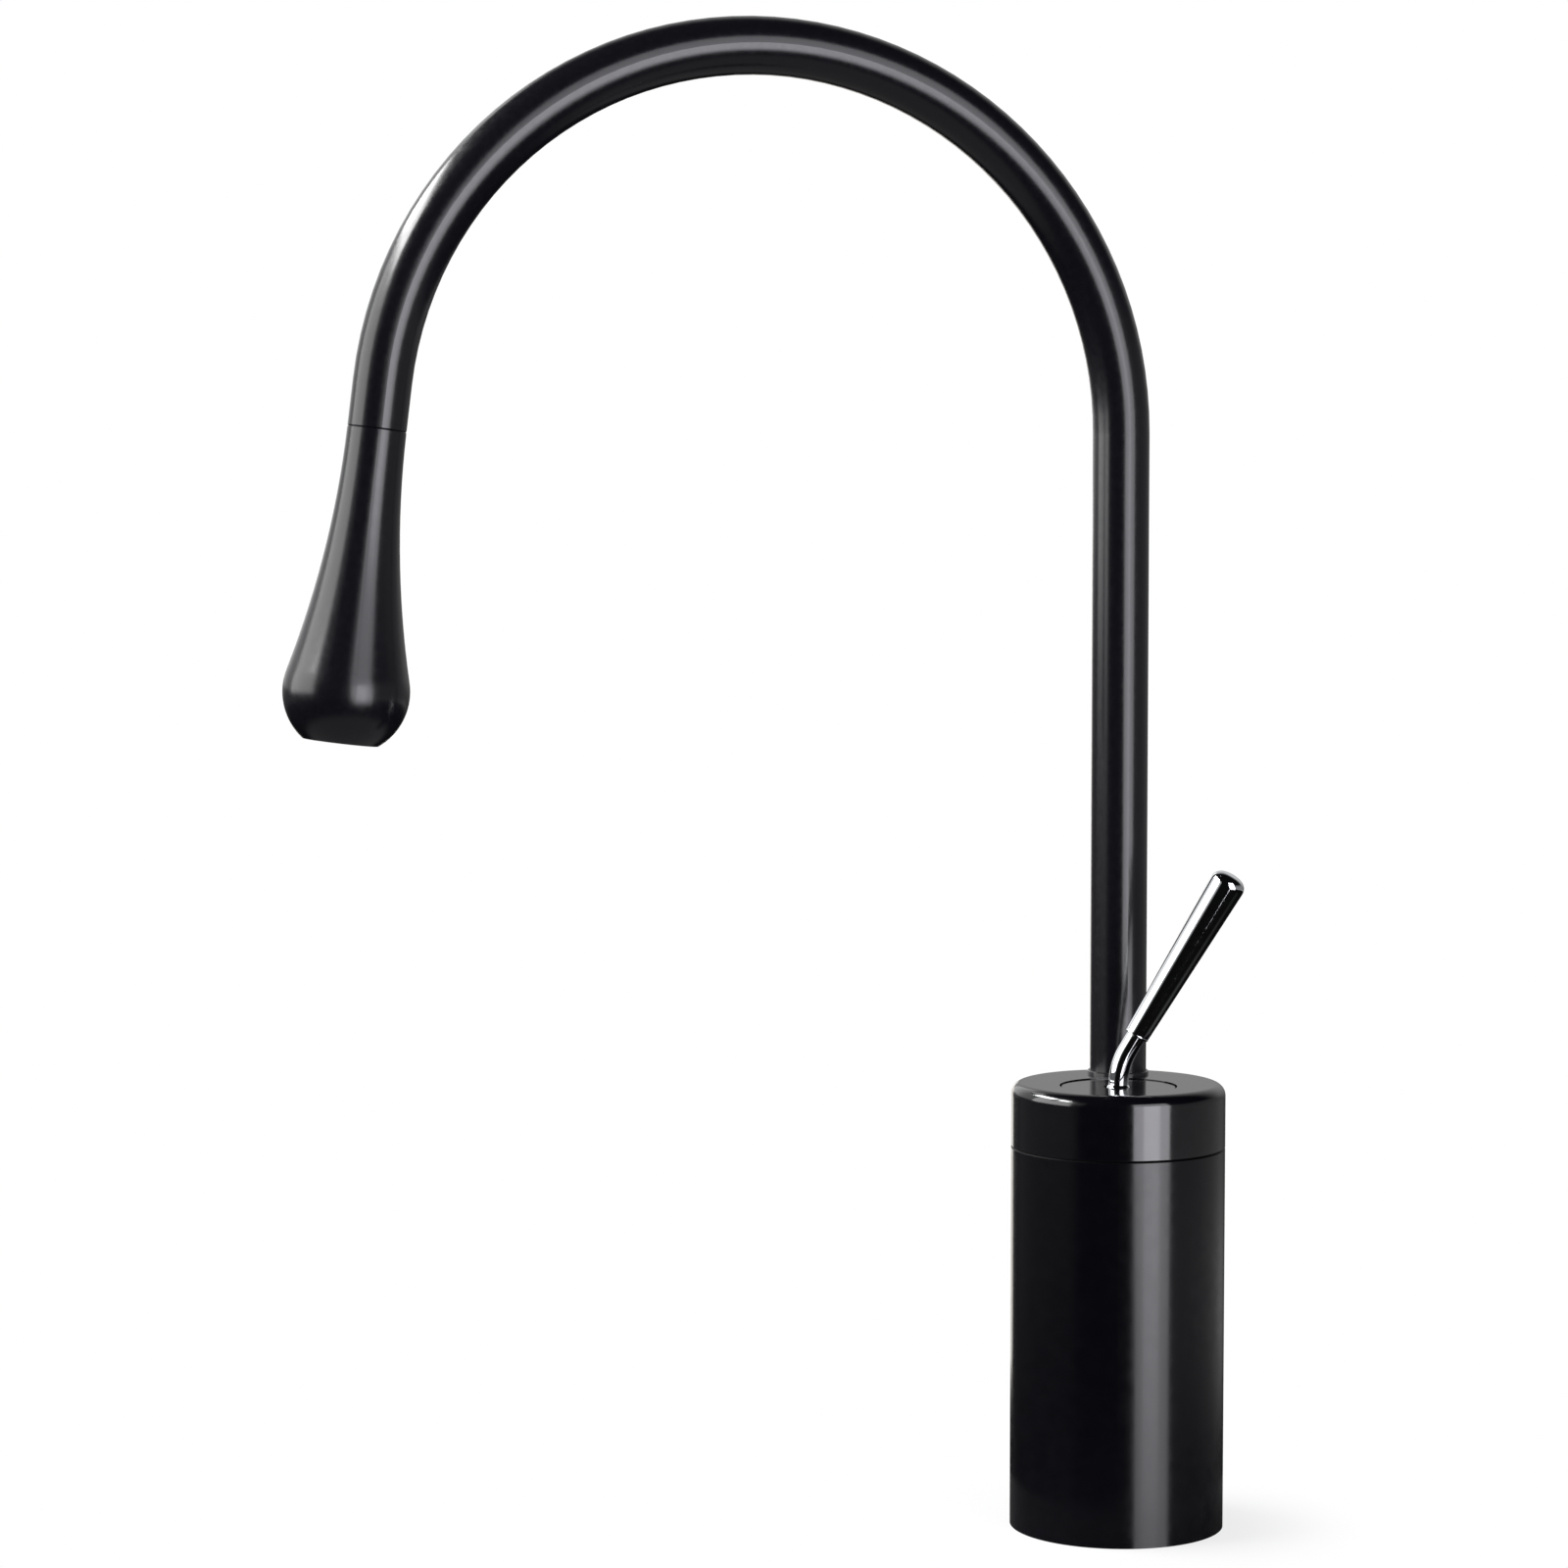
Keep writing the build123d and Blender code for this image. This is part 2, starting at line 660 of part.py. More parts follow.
def lever_neck():
    """Bent round bar from the ball to the handle, with a tenon for the handle."""
    bend, straight = neck_route()
    path = lever_side * (Curve() + [bend, straight])
    start = Plane(origin=lever_side.from_local_coords(Vector(0, ball_flat, 0)), z_dir=(0, 0, 1))
    neck = sweep(start * Circle(neck_diameter / 2), path=path)
    neck += handle_frame() * Cylinder(tenon_diameter / 2, tenon_length, align=bottom_up)
    bore = stud_diameter + 2 * screw_fit
    bore_top = pivot_height + ball_flat + stud_length + screw_fit
    neck -= rod(bore, pivot_height + ball_flat, bore_top, lever_at)
    return neck


def lever_handle():
    """Slim turned handle that widens towards a domed end and screws onto the neck's tenon."""
    foot_radius = handle_foot_diameter / 2
    top_radius = handle_top_diameter / 2
    shoulder = handle_length - handle_crown
    crown_radius = (top_radius**2 + handle_crown**2) / (2 * handle_crown)
    crown_middle = handle_length - crown_radius + sqrt(crown_radius**2 - (top_radius / 2) ** 2)
    sides = Polyline((0, handle_length), (0, 0), (foot_radius, 0), (top_radius, shoulder))
    crown = ThreePointArc((top_radius, shoulder), (top_radius / 2, crown_middle), (0, handle_length))
    blank = revolve(Plane.XZ * Face(Wire([*sides.edges(), crown])), Axis.Z)
    blank = fillet(rim_edge(blank, shoulder, top_radius), handle_shoulder_radius)
    blank = chamfer(rim_edge(blank, 0, foot_radius), handle_foot_chamfer)
    blank -= rod(tenon_diameter + 2 * screw_fit, 0, tenon_length + 2 * screw_fit)
    return handle_frame() * blank


spout_swing = Pos(-spout_offset, 0, 0) * Rot(0, 0, spout_turn_angle)
spout_side = Plane(origin=(0, 0, 0), x_dir=(0, -1, 0), z_dir=(-1, 0, 0))


def pipe_route():
    """Centre line of the pipe in the spout's plane: up, over the arch, and a short way down."""
    rise = Line((0, pipe_foot), (0, arch_height))
    arch = CenterArc((arch_radius, arch_height), arch_radius, 180, end_tilt_angle - 180)
    fall = Line(arch @ 1, (arch @ 1) + (arch % 1) * end_straight)
    return rise, arch, fall


def spout_pipe():
    """Bent tube of the spout, one unbroken bend over the basin."""
    path = spout_side * (Curve() + list(pipe_route()))
    section = Circle(pipe_radius) - Circle(pipe_bore_radius)
    pipe = sweep(Pos(0, 0, pipe_foot) * section, path=path)
    lip = pipe.edges().filter_by(GeomType.CIRCLE).sort_by(Axis.Y)[0:2]
    outer_lip = ShapeList(lip).sort_by(SortBy.RADIUS)[-1]
    return spout_swing * chamfer(outer_lip, joint_chamfer)


def drop_place():
    """Where the nozzle starts, at the pipe's end, with Z along the nozzle towards its outlet."""
    rise, arch, fall = pipe_route()
    seam = fall @ 1
    run = fall % 1
    origin = spout_side.from_local_coords(Vector(seam.X, seam.Y, 0))
    return spout_swing * Location(Plane(origin=origin, x_dir=(1, 0, 0), z_dir=(0, -run.X, run.Y)))


drop_radius = drop_diameter / 2
outlet_radius = outlet_diameter / 2
drop_centre = drop_length - sqrt(drop_radius**2 - outlet_radius**2)
flare_radius = (drop_centre**2 + pipe_radius**2 - drop_radius**2) / (2 * (drop_radius - pipe_radius))
flare_angle = asin(drop_centre / (flare_radius + drop_radius))
cage_radius = outlet_radius - outlet_wall
cage_low = drop_length - aerator_recess - aerator_length
seat_low = cage_low - aerator_washer_thickness


def drop_outline():
    """Half outline of the nozzle: a long flare that runs smoothly into a ball, cut off at the outlet."""
    join = (
        pipe_radius + flare_radius * (1 - cos(flare_angle)),
        flare_radius * sin(flare_angle),
    )
    half = flare_angle / 2
    on_flare = (
        pipe_radius + flare_radius * (1 - cos(half)),
        flare_radius * sin(half),
    )
    flare = ThreePointArc((pipe_radius, 0), on_flare, join)
    ball = ThreePointArc(join, (drop_radius, drop_centre), (outlet_radius, drop_length))
    end = Line((outlet_radius, drop_length), (0, drop_length))
    axis = Line((0, drop_length), (0, 0))
    top = Line((0, 0), (pipe_radius, 0))
    return Wire([flare, ball, end, axis, top])


def nozzle_bore():
    """Hollow of the nozzle: a round waterway that widens to the aerator's seat."""
    way = nozzle_waterway / 2
    seat = cage_radius - aerator_washer_width / 2
    outline = Polyline(
        (0, -nozzle_spigot_length),
        (way, -nozzle_spigot_length),
        (way, seat_low - nozzle_cone_length),
        (seat, seat_low),
        (cage_radius + screw_fit, seat_low),
        (cage_radius + screw_fit, drop_length),
        (0, drop_length),
        close=True,
    )
    return revolve(Plane.XZ * Face(Wire(outline)), Axis.Z)


def drop_nozzle():
    """Drop-shaped end of the spout, with a spigot that goes up into the pipe."""
    drop = revolve(Plane.XZ * Face(drop_outline()), Axis.Z)
    drop = chamfer(rim_edge(drop, 0, pipe_radius), joint_chamfer)
    drop = fillet(rim_edge(drop, drop_length, outlet_radius), outlet_edge)
    drop += rod(2 * (pipe_bore_radius - screw_fit), -nozzle_spigot_length, 0)
    return drop_place() * (drop - nozzle_bore())


def aerator_cage():
    """Threaded ring of the aerator, with a lip at the outlet and notches for its key."""
    low = cage_low
    high = low + aerator_length
    bore = cage_radius - cage_wall
    cage = tube(2 * cage_radius, 2 * bore, low, high)
    cage += tube(2 * cage_radius, 2 * (bore - cage_lip_width), high - cage_lip, high)
    for turn in range(4):
        notch = block(key_notch, key_notch, high - key_notch_depth, high, (cage_radius, 0))
        cage -= Rot(0, 0, 90 * turn) * notch
    return drop_place() * cage


screen_radius = cage_radius - cage_wall - screw_fit
screen_low = cage_low + aerator_length - cage_lip - screen_thickness
insert_low = screen_low - insert_thickness


def aerator_screen():
    """Honeycomb disc that smooths the water at the outlet."""
    disc = rod(2 * screen_radius, screen_low, screen_low + screen_thickness)
    cell = RegularPolygon((screen_pitch - screen_web) / 2, 6, major_radius=False)
    reach = screen_radius - screen_pitch / 2 - screen_rim
    rows = int(reach / screen_pitch) + 1
    cells = []
    for row in range(-rows, rows + 1):
        for column in range(-rows, rows + 1):
            x = (column + row / 2) * screen_pitch
            y = row * screen_pitch * sqrt(3) / 2
            if sqrt(x**2 + y**2) <= reach:
                cells.append(Pos(x, y, 0) * Rot(0, 0, 30) * cell)
    holes = extrude(Sketch() + cells, screen_thickness)
    return drop_place() * (disc - Pos(0, 0, screen_low) * holes)


def aerator_insert():
    """Plastic body of the aerator, a cone with a ring of narrow slots round it."""
    high = screen_low
    floor = insert_low + insert_recess
    cup = rod(2 * screen_radius, insert_low, high) - rod(2 * (screen_radius - insert_rim), insert_low, floor)
    cone = Cone(insert_cone_tip, screen_radius - insert_cone_inset, insert_cone_height, align=bottom_up)
    cup += Pos(0, 0, floor - insert_cone_height) * cone
    for jet in range(jet_count):
        slot = block(jet_length, jet_width, insert_low, high, (screen_radius - jet_inset, 0))
        cup -= Rot(0, 0, 360 / jet_count * jet) * slot
    return drop_place() * cup


def aerator_washer():
    """Rubber ring between the aerator and its seat."""
    inner = cage_radius - aerator_washer_width
    return drop_place() * tube(2 * cage_radius, 2 * inner, seat_low, cage_low)


def spout_shank():
    """Turned brass end of the spout: a spigot in the pipe, a shoulder, and a long bearing with grooves."""
    shank = rod(shank_diameter, shank_low, slide_washer_top)
    shank += rod(pipe_diameter, slide_washer_top, pipe_foot)
    shank += rod(2 * (pipe_bore_radius - screw_fit), pipe_foot, pipe_foot + shank_spigot_length)
    shank = chamfer(rim_edge(shank, shank_low, shank_diameter / 2), shank_end_chamfer)
    shank -= rod(shank_bore, shank_low, pipe_foot + shank_spigot_length)
    groove_floor = shank_diameter - 2 * (o_ring_thickness + o_ring_room)
    for height in (lower_o_ring_height, upper_o_ring_height):
        low = shank_low + height - o_ring_groove_width / 2
        shank -= tube(2 * shank_diameter, groove_floor, low, low + o_ring_groove_width)
    half = clip_thickness / 2 + clip_room_on_shank
    clip_middle = shank_low + clip_height
    clip_bore = socket_bore_radius + clip_depth_in_bore - clip_width
    clip_floor = 2 * (clip_bore - clip_room_on_shank)
    shank -= tube(2 * shank_diameter, clip_floor, clip_middle - half, clip_middle + half)
    return spout_swing * shank


def shank_o_ring(height):
    """Rubber ring that seals the shank in its socket."""
    return spout_swing * o_ring(shank_diameter / 2, o_ring_thickness, shank_low + height)


def retaining_clip():
    """Split ring in the socket's groove, which keeps the spout from lifting out."""
    outer = socket_bore_radius + clip_depth_in_bore
    low = shank_low + clip_height - clip_thickness / 2
    clip = tube(2 * outer, 2 * (outer - clip_width), low, low + clip_thickness)
    clip -= sector(4 * outer, clip_gap_angle / 2, low, low + clip_thickness)
    return Pos(-spout_offset, 0, 0) * clip


def slide_washer():
    """Slippery washer that carries the spout's shoulder on the socket."""
    outer = pipe_diameter - 2 * slide_washer_inset
    inner = shank_diameter + 2 * slide_washer_bore_room
    return tube(outer, inner, socket_top, slide_washer_top, spout_at)


def spout_bush():
    """Thin bearing bush in the cap, which stands just proud of it round the pipe's foot."""
    top = body_height + bush_proud
    bush = tube(2 * bush_radius, 2 * bush_bore_radius, cap_underside, top, spout_at)
    return chamfer(rim_edge(bush, top, bush_radius, spout_at), bush_edge)


pieces = {
    "body_shell": body_shell(),
    "top_cap": top_cap(),
    "mixer_core": mixer_core(),
    "base_gasket": base_gasket(),
    "shell_grip_ring": dress_ring(shell_ring_height),
    "cap_grip_ring": dress_ring(cap_ring_height),
    "cartridge_housing": cartridge_housing(),
    "cartridge_base": cartridge_base(),
    "port_seals": port_seals(),
    "fixed_ceramic_disc": fixed_ceramic_disc(),
    "moving_ceramic_disc": moving_ceramic_disc(),
    "disc_carrier": disc_carrier(),
    "lever_rotor": lever_rotor(),
    "cartridge_nut": cartridge_nut(),
    "lever_plate": lever_plate(),
    "plate_screws": plate_screws(),
    "pivot_pin": pivot_pin(),
    "lever_spindle": lever_spindle(),
    "lever_neck": lever_neck(),
    "lever_handle": lever_handle(),
    "spout_pipe": spout_pipe(),
    "spout_shank": spout_shank(),
    "lower_shank_o_ring": shank_o_ring(lower_o_ring_height),
    "upper_shank_o_ring": shank_o_ring(upper_o_ring_height),
    "retaining_clip": retaining_clip(),
    "slide_washer": slide_washer(),
    "spout_bush": spout_bush(),
    "drop_nozzle": drop_nozzle(),
    "aerator_cage": aerator_cage(),
    "aerator_insert": aerator_insert(),
    "aerator_screen": aerator_screen(),
    "aerator_washer": aerator_washer(),
}

os.makedirs("parts", exist_ok=True)
for name, piece in pieces.items():
    piece.label = name
    export_step(piece, f"parts/{name}.step")
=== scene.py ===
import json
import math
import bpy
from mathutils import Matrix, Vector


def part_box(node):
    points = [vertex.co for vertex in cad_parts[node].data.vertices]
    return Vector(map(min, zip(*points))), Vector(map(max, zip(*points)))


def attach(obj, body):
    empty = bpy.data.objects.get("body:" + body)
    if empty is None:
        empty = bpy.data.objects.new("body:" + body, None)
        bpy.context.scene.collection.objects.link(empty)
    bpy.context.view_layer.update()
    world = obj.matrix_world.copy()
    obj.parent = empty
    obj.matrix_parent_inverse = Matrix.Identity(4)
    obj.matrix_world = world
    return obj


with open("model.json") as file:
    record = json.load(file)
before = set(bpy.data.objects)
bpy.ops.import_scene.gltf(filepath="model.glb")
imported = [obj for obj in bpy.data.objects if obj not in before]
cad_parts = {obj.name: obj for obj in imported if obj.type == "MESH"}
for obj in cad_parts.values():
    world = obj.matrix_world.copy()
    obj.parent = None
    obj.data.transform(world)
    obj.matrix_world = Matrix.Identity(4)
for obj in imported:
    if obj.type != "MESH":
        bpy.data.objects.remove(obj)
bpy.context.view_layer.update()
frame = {"nodes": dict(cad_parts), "record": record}

# %% [markdown]
# # A basin mixer, dressed for its portrait
# The working model comes in as a fixed frame: every shell, ring, disc and screw is already at its
# real size, in metres, with Z up and the deck at zero. This file only gives the tap its finishes and
# the small forms that a maker would add last. We could have rebuilt the whole tap here, but then
# the looks and the working parts would drift apart, so the frame stays and is never touched.

nodes = frame["nodes"]

# %% [markdown]
# ## The camera
# The picture was taken with a long lens from a little above the tap's middle, looking across the
# lever. A long lens keeps the body's rims nearly flat and the tube's sides nearly parallel. We could
# place the camera by eye, but a few pixels of error would look like a wrong shape. So the numbers
# come from fitting a pinhole camera to the arch, the rims and the pipe's foot.

# %% Camera
camera_place = (1.1663, -0.0080, 0.2870)
camera_dip = 3.825
camera_turn = 94.22
camera_lens = 95.77
film_width = 36

camera_data = bpy.data.cameras.new("camera")
camera_data.lens = camera_lens
camera_data.sensor_width = film_width
camera = bpy.data.objects.new("camera", camera_data)
camera.location = camera_place
camera.rotation_euler = (math.radians(90 - camera_dip), 0, math.radians(camera_turn))
bpy.context.scene.collection.objects.link(camera)
bpy.context.scene.camera = camera
print("camera looks along -X, dipping", camera_dip, "degrees")

# %% [markdown]
# ## The studio lights
# Black gloss shows nothing but its surroundings, so each light is chosen for what it looks like in the
# finish. To the right of the camera stands a tall softbox, which draws the long bright band on the
# right of the body and the pipe. It is far off, so that the body and the nozzle see it at nearly the
# same angle. It is made of four panels, because a softbox is brightest in its core and dimmer at its
# top and foot, and it reaches below the deck, because that is where the foot of the body looks.
#
# On the left a bright panel above the deck draws the soft band on the left of the pipe. Three dim ones
# beside it let the band fade towards both edges of the tube. A bright strip high on the left puts
# the glint on the rim and the streak on the arch, with a dim end behind it. A warm panel far back
# lights the thin left edge of the body. We could light with one big dome, but then black gloss would
# turn grey all over. The camera doesn't see the panels themselves.

# %% A light panel
def light_panel(name, start, end, distance, low, high, brightness, colour, middle):
    """A soft upright panel between two azimuths, in degrees from +X towards +Y, seen from a point."""
    turn = math.radians((start + end) / 2)
    half = math.radians(abs(end - start) / 2)
    data = bpy.data.lights.new(name, "AREA")
    data.shape = "RECTANGLE"
    data.size = 2 * distance * math.tan(half)
    data.size_y = high - low
    data.energy = brightness * math.pi * data.size * data.size_y
    data.color = colour
    panel = bpy.data.objects.new(name, data)
    out = Vector((math.cos(turn), math.sin(turn), 0))
    panel.location = Vector((*middle, (low + high) / 2)) + out * distance
    panel.rotation_euler = (-out).to_track_quat("-Z", "Y").to_euler()
    panel.visible_camera = False
    bpy.context.scene.collection.objects.link(panel)
    print(name, "is", round(data.size, 2), "m wide and", round(data.size_y, 2), "m tall")


print("one helper: light_panel")

# %% Light panels
cool_white = (0.975, 0.96, 1.02)
plain_white = (1.0, 1.0, 1.0)
warm_white = (1.0, 0.96, 0.9)
body_middle = (0.0, 0.0)
spout_end = (0.0, -0.2)

# Each row: name, first and last azimuth, distance, lowest and highest point, brightness.
right_softbox = [
    ("right_foot", 19, 56.5, 4.0, -1.3, -0.68, 2.9),
    ("right_main", 16.2, 56.5, 4.0, -0.68, 1.15, 4.4),
    ("right_core", 27, 45, 3.9, -0.88, 1.15, 2.1),
    ("right_top", 16.2, 56.5, 4.0, 1.15, 2.8, 2.8),
]
left_panels = [
    ("left_main", -106, -50, 2.0, 0.2, 1.6, 3.7),
    ("left_edge", -50, -33, 2.0, 0.72, 1.6, 0.22),
    ("left_middle", -140, -106, 2.2, 0.25, 1.6, 0.6),
    ("left_far", -168, -140, 2.3, 0.25, 1.75, 0.7),
    ("high_strip_end", -150, -122, 2.2, 1.7, 2.45, 1.4),
    ("high_strip", -122, -58, 2.2, 1.75, 2.5, 22.0),
]
rim_panel = ("rim_panel", -174, -154, 2.6, -0.5, 0.3, 1.3)

for row in right_softbox:
    light_panel(*row, cool_white, body_middle)
for row in left_panels:
    light_panel(*row, plain_white, spout_end)
light_panel(*rim_panel, warm_white, body_middle)

# %% [markdown]
# ## Small tools for nodes
# The room, the finishes and the floor are all drawn with nodes, and three jobs come back in them:
# sums and products, a smooth step between two values, and a choice between two shaders. We could
# wire these by hand each time, but then the wires would hide what each step is for.

# %% Helpers for nodes
def node_math(tree, operation, *values):
    """The sum, the product or the largest of some values, with one node for each further value."""
    result = values[0]
    for value in values[1:]:
        both = tree.nodes.new("ShaderNodeMath")
        both.operation = operation
        tree.links.new(result, both.inputs[0])
        if isinstance(value, float):
            both.inputs[1].default_value = value
        else:
            tree.links.new(value, both.inputs[1])
        result = both.outputs["Value"]
    return result


def smooth_step(tree, source, start, end, low=0.0, high=1.0):
    """A value that goes smoothly from low to high while the source goes from start to end."""
    step = tree.nodes.new("ShaderNodeMapRange")
    step.interpolation_type = "SMOOTHSTEP"
    step.inputs["From Min"].default_value = start
    step.inputs["From Max"].default_value = end
    step.inputs["To Min"].default_value = low
    step.inputs["To Max"].default_value = high
    tree.links.new(source, step.inputs["Value"])
    return step.outputs["Result"]


def choose_shader(tree, share, first, second):
    """The second shader by its share, and the first one for the rest."""
    mix = tree.nodes.new("ShaderNodeMixShader")
    tree.links.new(share, mix.inputs["Fac"])
    tree.links.new(first, mix.inputs[1])
    tree.links.new(second, mix.inputs[2])
    return mix.outputs["Shader"]


print("three helpers: node_math, smooth_step and choose_shader")

# %% [markdown]
# ## The room
# The backdrop is white paper. The camera sees it as plain white all round. The tap sees it only where
# it hangs, behind the tap and above the deck, so its top face and its rims turn pale there while the
# front stays black. A dim wall stands on each side: the right one has a brighter skirting at its foot,
# and the left one is brighter above than below. The paper underfoot is seen only from above. We could
# build these as real walls, but they would stand in the way of the lamps and of other views. So all
# of it is one world: Light Path tells which kind of ray asks, and the ray's direction tells where it
# looks.

# %% An empty room
world = bpy.data.worlds.new("room")
world.use_nodes = True
bpy.context.scene.world = world
room = world.node_tree
room.nodes.clear()

direction = room.nodes.new("ShaderNodeTexCoord")
split = room.nodes.new("ShaderNodeSeparateXYZ")
room.links.new(direction.outputs["Generated"], split.inputs["Vector"])
east = split.outputs["X"]
north = split.outputs["Y"]
up = split.outputs["Z"]
print("the room knows the direction of a ray, in", len(split.outputs), "coordinates")

# %% What the finishes see
backdrop_glow = 0.62
right_wall_glow = 0.22
right_skirting_glow = 0.28
left_wall_glow = 0.26
left_low_glow = 0.11
underfoot_glow = 0.24
front_glow = 0.004

# Each edge is soft and lies between two values of one coordinate of the direction, from -1 to 1.
backdrop_sides = smooth_step(room, east, -0.35, -0.9)
backdrop_rise = smooth_step(room, up, -0.3, 0.35, high=backdrop_glow)
backdrop = node_math(room, "MULTIPLY", backdrop_sides, backdrop_rise)

right_near_edge = smooth_step(room, north, 0.1, 0.7)
right_foot = smooth_step(room, up, -0.222, -0.195)
right_top = smooth_step(room, up, 0.35, 0.1, high=right_wall_glow)
right_skirting = smooth_step(room, up, -0.155, -0.18, high=right_skirting_glow)
right_face = node_math(room, "ADD", right_top, right_skirting)
right_wall = node_math(room, "MULTIPLY", right_near_edge, right_foot, right_face)

left_near_edge = smooth_step(room, north, -0.58, -0.7)
left_rise = smooth_step(room, up, 0.0, 0.25, high=left_wall_glow)
left_high = node_math(room, "MULTIPLY", left_near_edge, left_rise)
left_low_edge = smooth_step(room, north, -0.62, -0.8)
left_low_rise = smooth_step(room, up, -0.22, -0.17, high=left_low_glow)
left_low = node_math(room, "MULTIPLY", left_low_edge, left_low_rise)
left_wall = node_math(room, "MAXIMUM", left_high, left_low)

underfoot = smooth_step(room, up, -0.57, -0.75, high=underfoot_glow)
seen_in_gloss = node_math(room, "MAXIMUM", backdrop, right_wall, left_wall, underfoot, front_glow)
print("a backdrop, two walls and the paper underfoot, with", front_glow, "of glow elsewhere")

# %% Which ray sees what
paper_white = (1.0, 1.0, 1.0, 1.0)
room_dim = (0.22, 0.22, 0.23, 1.0)

white = room.nodes.new("ShaderNodeBackground")
white.inputs["Color"].default_value = paper_white
gloss = room.nodes.new("ShaderNodeBackground")
gloss.inputs["Color"].default_value = paper_white
room.links.new(seen_in_gloss, gloss.inputs["Strength"])
dim = room.nodes.new("ShaderNodeBackground")
dim.inputs["Color"].default_value = room_dim

rays = room.nodes.new("ShaderNodeLightPath")
shiny_ray = node_math(room, "MAXIMUM", rays.outputs["Is Glossy Ray"], rays.outputs["Is Transmission Ray"])
dim_or_gloss = choose_shader(room, shiny_ray, dim.outputs["Background"], gloss.outputs["Background"])
every_ray = choose_shader(room, rays.outputs["Is Camera Ray"], dim_or_gloss, white.outputs["Background"])
room_out = room.nodes.new("ShaderNodeOutputWorld")
room.links.new(every_ray, room_out.inputs["Surface"])

bpy.context.scene.view_settings.view_transform = "Standard"
print("room:", len(room.nodes), "nodes")

# %% [markdown]
# ## Shared effects
# Several finishes need the same small irregularities: the fine unevenness of any coated, cast or
# moulded surface, the fine rings that turning and polishing leave round a bar, and a dull ring where
# two pieces meet and the wheel can't reach. Each effect is a node group that is built once and placed in
# each material with its own values. The groups give only values. The shader itself, with its
# constants, stays in each material. We could paint pictures of scratches instead, but a procedural
# pattern stays sharp at any distance and needs no file.

# %% Helpers for an effect
def new_group(name, inputs, outputs):
    """An empty node group with named values going in and out, and its two end nodes."""
    group = bpy.data.node_groups.new(name, "ShaderNodeTree")
    for label, value in inputs.items():
        socket = group.interface.new_socket(label, in_out="INPUT", socket_type="NodeSocketFloat")
        socket.default_value = value
    for label in outputs:
        group.interface.new_socket(label, in_out="OUTPUT", socket_type="NodeSocketFloat")
    group_in = group.nodes.new("NodeGroupInput")
    group_out = group.nodes.new("NodeGroupOutput")
    return group, group_in, group_out


def put_out_noise(group, group_in, group_out, noise, lowest, highest):
    """Gives a noise the group's size, and puts it out as a height and as a value from low to high."""
    spread = group.nodes.new("ShaderNodeMapRange")
    spread.inputs["From Min"].default_value = lowest
    spread.inputs["From Max"].default_value = highest
    group.links.new(group_in.outputs["Size"], noise.inputs["Scale"])
    group.links.new(noise.outputs["Fac"], spread.inputs["Value"])
    group.links.new(group_in.outputs["Low"], spread.inputs["To Min"])
    group.links.new(group_in.outputs["High"], spread.inputs["To Max"])
    group.links.new(spread.outputs["Result"], group_out.inputs["Value"])
    group.links.new(noise.outputs["Fac"], group_out.inputs["Height"])


print("two helpers: new_group and put_out_noise")

# %% Effect: fine unevenness
unevenness, group_in, group_out = new_group(
    "fine_unevenness", {"Size": 400.0, "Low": 0.2, "High": 0.3}, ["Value", "Height"])
where = unevenness.nodes.new("ShaderNodeTexCoord")
noise = unevenness.nodes.new("ShaderNodeTexNoise")
noise.inputs["Detail"].default_value = 3.0
noise.inputs["Roughness"].default_value = 0.55
unevenness.links.new(where.outputs["Object"], noise.inputs["Vector"])
put_out_noise(unevenness, group_in, group_out, noise, lowest=0.3, highest=0.7)
print("group:", unevenness.name)

# %% Effect: polishing marks
# Squeezed coordinates draw the noise out level, into rings round an upright bar.
level_squeeze = (0.12, 0.12, 1.0)

polish_marks, group_in, group_out = new_group(
    "polish_marks", {"Size": 900.0, "Low": 0.03, "High": 0.09}, ["Value", "Height"])
where = polish_marks.nodes.new("ShaderNodeTexCoord")
squeeze = polish_marks.nodes.new("ShaderNodeMapping")
squeeze.inputs["Scale"].default_value = level_squeeze
marks = polish_marks.nodes.new("ShaderNodeTexNoise")
marks.inputs["Detail"].default_value = 4.0
polish_marks.links.new(where.outputs["Object"], squeeze.inputs["Vector"])
polish_marks.links.new(squeeze.outputs["Vector"], marks.inputs["Vector"])
put_out_noise(polish_marks, group_in, group_out, marks, lowest=0.35, highest=0.65)
print("group:", polish_marks.name)

# %% Effect: a dull ring at one height
dull_ring, group_in, group_out = new_group(
    "dull_ring", {"Height": 0.1074, "Reach": 0.0004, "Around": 0.15, "Ring": 0.5}, ["Value", "Mask"])
where = dull_ring.nodes.new("ShaderNodeTexCoord")
axes = dull_ring.nodes.new("ShaderNodeSeparateXYZ")
near = dull_ring.nodes.new("ShaderNodeMath")
near.operation = "COMPARE"
pick = dull_ring.nodes.new("ShaderNodeMix")
dull_ring.links.new(where.outputs["Object"], axes.inputs["Vector"])
dull_ring.links.new(axes.outputs["Z"], near.inputs[0])
dull_ring.links.new(group_in.outputs["Height"], near.inputs[1])
dull_ring.links.new(group_in.outputs["Reach"], near.inputs[2])
dull_ring.links.new(near.outputs["Value"], pick.inputs["Factor"])
dull_ring.links.new(group_in.outputs["Around"], pick.inputs["A"])
dull_ring.links.new(group_in.outputs["Ring"], pick.inputs["B"])
dull_ring.links.new(pick.outputs["Result"], group_out.inputs["Value"])
dull_ring.links.new(near.outputs["Value"], group_out.inputs["Mask"])
print("group:", dull_ring.name)

# %% [markdown]
# ## What every finish has
# A finish here is one shader with its constants, and over it one pattern that moves the roughness,
# the colour and the height together, as on a real surface: a high spot is rubbed a little duller and
# looks lighter. We could give each of the three a pattern of its own, but then they would drift apart.

